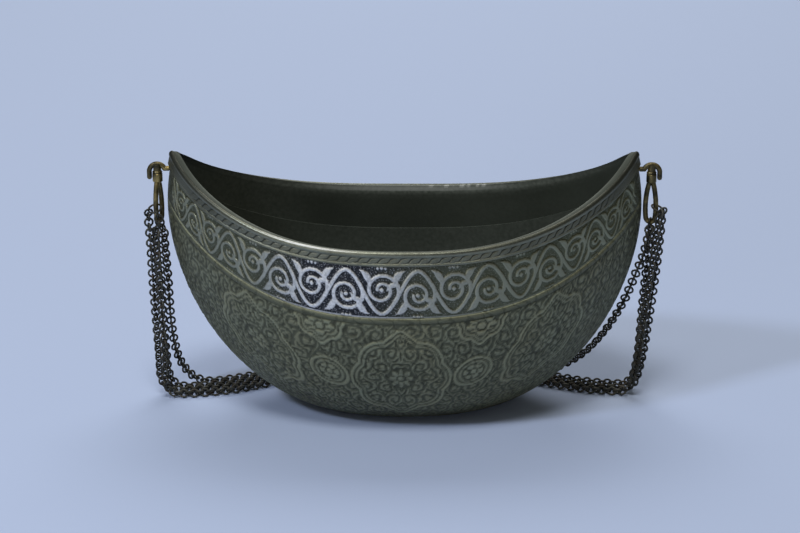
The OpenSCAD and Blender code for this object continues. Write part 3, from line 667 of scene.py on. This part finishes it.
band_height = fillet_drop(frieze_stations) - strip_drop(frieze_stations)
band_middle = strip_drop(frieze_stations) + 0.5 * band_height
band_run = run_of(wall_points(outside, frieze_stations, band_middle, 0), 0)
growth = vine_height * mm / band_height
phase = np.concatenate([[0], np.cumsum(np.diff(band_run) / mm * 0.5 * (growth[1:] + growth[:-1]))])
phase -= phase[frieze_columns // 2]
x_vine, y_vine = np.broadcast_arrays(phase[None], vine_height * (band_middle - frieze_drops) / band_height)
vine = vine_relief(x_vine, y_vine)
prow_gap = 7
band_end = (band_run[-1] / 2 - np.abs(band_run - band_run[-1] / 2)) / mm
vine *= fading(band_end, prow_gap, 3)
vine_depth = 0.6 * mm
band = band + outward(band) * (vine * vine_depth)[:, :, None]
band_back = -0.25 * mm
back_rows = np.stack([wall_points(outside, frieze_stations, drops, band_back)
                      for drops in (frieze_foot, frieze_top)])
band = np.concatenate([band, back_rows, band[:1]])
# The band's two foot rows take the stroke colour: a painted highlight along the fillet's upper edge.
painted_foot_highlight = 0.75
vine[-2:] = painted_foot_highlight
vine = np.concatenate([vine, np.zeros((2, frieze_columns + 1)), vine[:1]])
frieze = laid_grid("frieze", all_round(band), all_round(vine))


def punched_silver():
    """Tin on the vine's strokes over a ground of punched pits, with a painted highlight left of the middle.
    """
    material = new_material("punched_silver")
    place = add_node(material, "TexCoord")
    axes = add_node(material, "SeparateXYZ")
    connect(material, place.outputs["Object"], axes.inputs["Vector"])
    # Painted highlight along the bowl, strongest left of the middle.
    along = grey(material, axes.outputs["X"], 0, 1, -half_length, half_length)
    levels = ((0, 0.05), (0.2, 0.17), (0.31, 1), (0.43, 1), (0.55, 0.32), (0.7, 0.08), (1, 0))
    painted_highlight_share = ramp(material, along, *[(share, (level, level, level)) for share, level in levels])
    dots = pattern(material, "TexVoronoi", 950, "Distance")
    grain = pattern(material, "TexNoise", 700, "Fac", detail=4)
    clouds = pattern(material, "TexNoise", 30, "Fac", detail=4)
    # Under the painted highlight the ground is a painted dark reflection with glinting pits; elsewhere dull
    # olive.
    dark_ground = ramp(material, dots, (0.12, (0.42, 0.43, 0.45)), (0.34, (0.05, 0.052, 0.058)),
                       (0.8, (0.02, 0.022, 0.026)))
    dull_ground = ramp(material, dots, (0.12, (0.155, 0.162, 0.105)), (0.5, (0.1, 0.106, 0.066)))
    ground = mixed(material, painted_highlight_share, dull_ground, dark_ground)
    # The strokes' painted highlight, and their dull tin away from it.
    bright = ramp(material, grain, (0.25, (0.42, 0.42, 0.41)), (0.5, (0.7, 0.7, 0.69)),
                  (0.8, (0.9, 0.9, 0.89)))
    dull = ramp(material, clouds, (0.3, (0.185, 0.193, 0.125)), (0.7, (0.24, 0.25, 0.17)))
    stroke = mixed(material, painted_highlight_share, dull, bright)
    colour = mixed(material, grey(material, kept_relief(material), 0, 1, 0.35, 0.95), ground, stroke)
    height = mixed(material, kept_relief(material), dots, grain)
    finish_metal(material, colour, grey(material, grain, 0.3, 0.5), height, metallic=0.85, bump_depth=-0.0002)
    return material


frieze.data.materials.append(punched_silver())
close_up(frieze, crease=60)
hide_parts("bowl_shell")
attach(frieze, "bowl")

# Rim strips
# Two strips bent to the lip and soldered on outside, one in front and one behind, meeting at the prows. Each
# has a broad rounded crown and a plain lower edge, with a rope chased between them that fades at the prows.
strip_columns = 1100
strip_middle = 4 * mm
strip_out = 2 * mm
strip_stations = even_stations(strip_columns, strip_middle)
rope_top = 3.0
rope_foot = 6.6
rope_level = 1.85
rope_rows = 13
rope_pitch = 6.2
rope_depth = 0.34
strand_slant = 0.25
strand_curl = 0.5
groove_half = 0.12
groove_slope = 0.4
rope_gap = 25
rope_fade = 20

# Drops below the lip and heights out of the wall in millimetres, above the rope and below it
crown = ((0, 0.1), (-0.4, 0.7), (-0.35, 1.4), (0, 2.0), (0.8, 2.35), (1.8, 2.4), (2.5, 2.2), (2.75, 1.9))
lower_edge = ((6.85, 1.7), (7.1, 1.9), (8.0, 1.85), (8.45, 1.5), (8.6, 1.0), (8.6, 0.1), (0, 0.1))
rope_drops = np.linspace(rope_top, rope_foot, rope_rows)
strip_run = run_of(wall_points(outside, strip_stations, strip_middle, strip_out), 0) / mm
strip_run -= strip_run[strip_columns // 2]
rope_half = 0.5 * (rope_foot - rope_top)
waist = (rope_drops[:, None] - 0.5 * (rope_top + rope_foot)) / rope_half
strand = strip_run[None] / rope_pitch + strand_slant * waist + strand_curl * waist ** 5
strand_lean = rope_pitch * (strand_slant + 5 * strand_curl * waist ** 4) / rope_half
from_groove = np.abs(strand - np.round(strand)) * rope_pitch / np.sqrt(1 + strand_lean ** 2)
strip_end = (strip_run[-1] - np.abs(strip_run))[None]
groove = ridge(from_groove, groove_half, groove_slope) * fading(strip_end, rope_gap, rope_fade)
groove *= ease((1 - np.abs(waist)) / 0.08)
section = np.concatenate([crown, [(drop, rope_level) for drop in rope_drops], lower_edge])
section_drops = section[:, :1]
strip_outs = np.repeat(section[:, 1:], strip_columns + 1, axis=1)
rope_zone = slice(len(crown), len(crown) + rope_rows)
strip_outs[rope_zone] -= rope_depth * groove

# Tones of the strip: dark in the rope, worn on the crown, painted highlight left of middle, painted shade at
# the prows
crown_top = slice(0, 5)
crown_highlight_rows = slice(2, 4)
strip_back = slice(-2, None)
highlight_middle = -68
strip_x = half_length * strip_stations
to_prow = np.abs(strip_stations) ** 3
strip_relief = np.ones_like(strip_outs)
strip_relief[rope_zone] = 0.75 - 0.75 * groove
# Painted shade: the strip darkens toward the prows.
strip_relief *= 1 - 0.5 * to_prow
strip_relief[crown_top] *= painted_highlight_along(strip_x) * (1 - 0.6 * to_prow)
# A thin painted highlight line along the crown, left of the middle.
strip_relief[crown_highlight_rows] += 0.6 * bell(strip_x / mm - highlight_middle, 40)
strip_relief[strip_back] = 0
strip_stretch = strip_drop(strip_stations) / strip_height
strip_front = wall_points(outside, strip_stations, section_drops * strip_stretch * mm, strip_outs * mm)


def worn_strip():
    """Tinned strip: greenish grey, worn paler along its crown, dark metal in the rope's grooves, painted
    highlights in bright metal.
    """
    material = new_material("worn_strip")
    clouds = pattern(material, "TexNoise", 40, "Fac", detail=5)
    grain = pattern(material, "TexNoise", 1200, "Fac", detail=3)
    groove_dark = (0.045, 0.048, 0.037)
    high = ramp(material, clouds, (0.3, (0.16, 0.164, 0.118)), (0.55, (0.24, 0.252, 0.195)),
                (0.75, (0.245, 0.237, 0.155)))
    colour = mixed(material, grey(material, kept_relief(material), 0, 1, 0.1, 0.95), groove_dark, high)
    colour = polish_and_highlight(material, colour, (0.66, 0.67, 0.66))
    colour = speckled(material, colour, grain)
    finish_metal(material, colour, grey(material, grain, 0.3, 0.5), grain, metallic=0.75, bump_depth=0.00006)
    return material


strip_metal = worn_strip()
for name, side in (("front", 1), ("back", -1)):
    places = strip_front * np.array([1, side, 1])
    strip = laid_grid("rim_strip_" + name + "_worked", places, strip_relief)
    strip.data.materials.append(strip_metal)
    close_up(strip, crease=50)
    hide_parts("rim_strip_" + name)
    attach(strip, "bowl")

# Brass fittings
# Cast and filed brass at each prow: a rivet through the strips' ends, a crooked arm riveted over a rove, and
# the shackle that hangs on the arm's pin under a collar. All have gone dull, with clouds of brighter brass.


def old_brass():
    material = new_material("old_brass")
    clouds = pattern(material, "TexNoise", 160, "Fac", detail=5)
    grain = pattern(material, "TexNoise", 1500, "Fac", detail=3)
    colour = ramp(material, clouds, (0.3, (0.035, 0.032, 0.02)), (0.5, (0.12, 0.098, 0.045)),
                  (0.72, (0.38, 0.29, 0.11)))
    finish_metal(material, colour, grey(material, grain, 0.28, 0.5), clouds, metallic=0.85, bump_depth=0.0002)
    return material


brass = old_brass()
fittings = ("prow_rivet", "arm", "arm_rove", "swivel_pin", "swivel_collar", "shackle")
for fitting in fittings:
    for prow in ("left", "right"):
        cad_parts[fitting + "_" + prow].material_slots[0].material = brass

# Chains
# Four chains of round links, each bent from iron wire, run from rings on one shackle down to the floor,
# behind the bowl and up to the rings on the other. The iron is almost black, with a little rust.
link_radius = 2.55 * mm
link_wire = 1.4 * mm
bpy.ops.mesh.primitive_torus_add(major_segments=12, minor_segments=5, major_radius=link_radius,
                                 minor_radius=0.5 * link_wire)
pattern_link = bpy.context.object
link_points = np.array([vertex.co for vertex in pattern_link.data.vertices])
link_faces = np.array([face.vertices for face in pattern_link.data.polygons])
bpy.data.objects.remove(pattern_link)


def link_places(node):
    """Middle and axis of each link in a chain's node, whose links follow one another in its mesh."""
    mesh = node.data
    points = np.empty(3 * len(mesh.vertices))
    mesh.vertices.foreach_get("co", points)
    points = points.reshape(-1, 3)
    corners = np.empty(3 * len(mesh.polygons), np.int64)
    mesh.polygons.foreach_get("vertices", corners)
    corners = corners.reshape(-1, 3)
    spans = np.zeros(len(points) + 1)
    np.add.at(spans, corners.min(axis=1), 1)
    np.add.at(spans, corners.max(axis=1), -1)
    breaks = np.flatnonzero(np.cumsum(spans)[:len(points)] == 0) + 1
    places = []
    for link in np.split(points, breaks[:-1]):
        link = np.unique(np.round(link, decimals=6), axis=0)
        middle = link.mean(axis=0)
        spread = (link - middle).T @ (link - middle)
        places.append((middle, np.linalg.eigh(spread)[1][:, 0]))
    return places


def old_iron():
    """Black iron wire: each link has its own tone, and rust sits in patches."""
    material = new_material("old_iron")
    tone = kept_relief(material)
    patches = pattern(material, "TexNoise", 260, "Fac", detail=4)
    black = mixed(material, tone, (0.032, 0.033, 0.027), (0.08, 0.08, 0.066))
    colour = mixed(material, grey(material, patches, 0, 0.5, 0.52, 0.7), black, (0.085, 0.052, 0.032))
    finish_metal(material, colour, grey(material, patches, 0.4, 0.65), patches, metallic=0.6,
                 bump_depth=0.00015)
    return material


iron = old_iron()
draws = np.random.default_rng(seed=11)
unevenness = 0.025


def laid_chain(name, node):
    """Links bent a little unevenly, each where the node has one."""
    points = []
    tones = []
    for middle, axis in link_places(node):
        turn = Vector((0, 0, 1)).rotation_difference(Vector(axis)).to_matrix()
        uneven = 1 + draws.uniform(-unevenness, unevenness, 3)
        points.append((link_points * uneven) @ np.array(turn).T + middle)
        tones.append(np.full(len(link_points), draws.random()))
    count = len(points)
    faces = np.concatenate([link_faces + k * len(link_points) for k in range(count)])
    mesh = bpy.data.meshes.new(name)
    mesh.from_pydata(np.concatenate(points).tolist(), [], faces.tolist())
    layer = mesh.attributes.new("relief", "FLOAT", "POINT")
    layer.data.foreach_set("value", np.concatenate(tones))
    mesh.polygons.foreach_set("use_smooth", np.ones(len(faces), bool))
    mesh.materials.append(iron)
    piece = bpy.data.objects.new(name, mesh)
    bpy.context.collection.objects.link(piece)
    return piece


# Floor stretches go with the bowl; the hanging stretches keep their places, with their transforms baked in
for chain in "abcd":
    for stretch in ("left", "floor", "right"):
        node_name = "chain_%s_%s" % (chain, stretch)
        piece = laid_chain(node_name + "_links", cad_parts[node_name])
        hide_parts(node_name)
        if stretch == "floor":
            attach(piece, "bowl")
            continue
        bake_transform(piece)
for ring in ("foot_ring", "side_ring"):
    for prow in ("left", "right"):
        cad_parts[ring + "_" + prow].material_slots[0].material = iron

# Studio
# A pale lavender floor that fills the picture, soft lamps above the bowl and behind it, a smaller one in
# front at the left that throws the shadow, a low one that the frieze mirrors, and a camera with a long lens.
bpy.ops.mesh.primitive_plane_add(size=14)
floor = bpy.context.object
floor.name = "floor"
floor_paint = new_material("floor_paint")
floor_shader = floor_paint.node_tree.nodes["Principled BSDF"]
floor_shader.inputs["Base Color"].default_value = (0.435, 0.515, 0.70, 1)
floor_shader.inputs["Roughness"].default_value = 0.9
floor_shader.inputs["Specular IOR Level"].default_value = 0.1
floor.data.materials.append(floor_paint)


def lamp(name, place, aim, size, power, colour):
    """A square soft lamp at a place, turned towards a point."""
    light = bpy.data.lights.new(name, "AREA")
    light.size = size
    light.energy = power
    light.color = colour
    holder = bpy.data.objects.new(name, light)
    bpy.context.collection.objects.link(holder)
    holder.location = place
    holder.rotation_euler = (Vector(aim) - Vector(place)).to_track_quat("-Z", "Y").to_euler()


# Lamps: name, place, aim, size in metres, watts and colour
lamps = (("key", (-1.5, -1.25, 1.85), (0, 0, 0.08), 0.35, 21, (0.9, 0.96, 1.12)),
         ("above", (-0.1, -1.1, 2.5), (-0.1, -0.5, 0), 0.7, 27, (1, 0.99, 0.96)),
         ("behind", (0, 2.0, 2.3), (0, 2.0, 0), 2.4, 53, (1, 0.99, 0.98)),
         ("low", (-0.8, -1.8, 0.42), (-0.03, 0, 0.1), 0.3, 2.8, (1, 0.99, 0.97)))
for settings in lamps:
    lamp(*settings)
world = bpy.data.worlds.new("studio")
world.use_nodes = True
world.node_tree.nodes["Background"].inputs["Color"].default_value = (0.84, 0.8, 0.66, 1)
world.node_tree.nodes["Background"].inputs["Strength"].default_value = 0.15
bpy.context.scene.world = world
bpy.context.scene.view_settings.view_transform = "Standard"

camera_rise = math.radians(18.667)
camera_yaw = math.radians(2.258)
camera_roll = math.radians(0.529)
camera_distance = 1385.2 * mm
aim_point = Vector((-2.69 * mm, 0, 91.85 * mm))
photo_width = 800
focal_pixels = 2168.07
camera_data = bpy.data.cameras.new("camera")
camera_data.sensor_width = 36
camera_data.lens = camera_data.sensor_width * focal_pixels / photo_width
camera = bpy.data.objects.new("camera", camera_data)
bpy.context.collection.objects.link(camera)
yaw = Matrix.Rotation(camera_yaw, 3, "Z")
forward = Vector((0, math.cos(camera_rise), -math.sin(camera_rise)))
right = Vector((math.cos(camera_roll), -math.sin(camera_roll) * math.sin(camera_rise),
                -math.sin(camera_roll) * math.cos(camera_rise)))
up = right.cross(forward)
place = aim_point - camera_distance * forward
axes = Matrix((yaw @ right, yaw @ up, yaw @ -forward)).transposed()
camera.matrix_world = Matrix.Translation(yaw @ place) @ axes.to_4x4()
bpy.context.scene.camera = camera
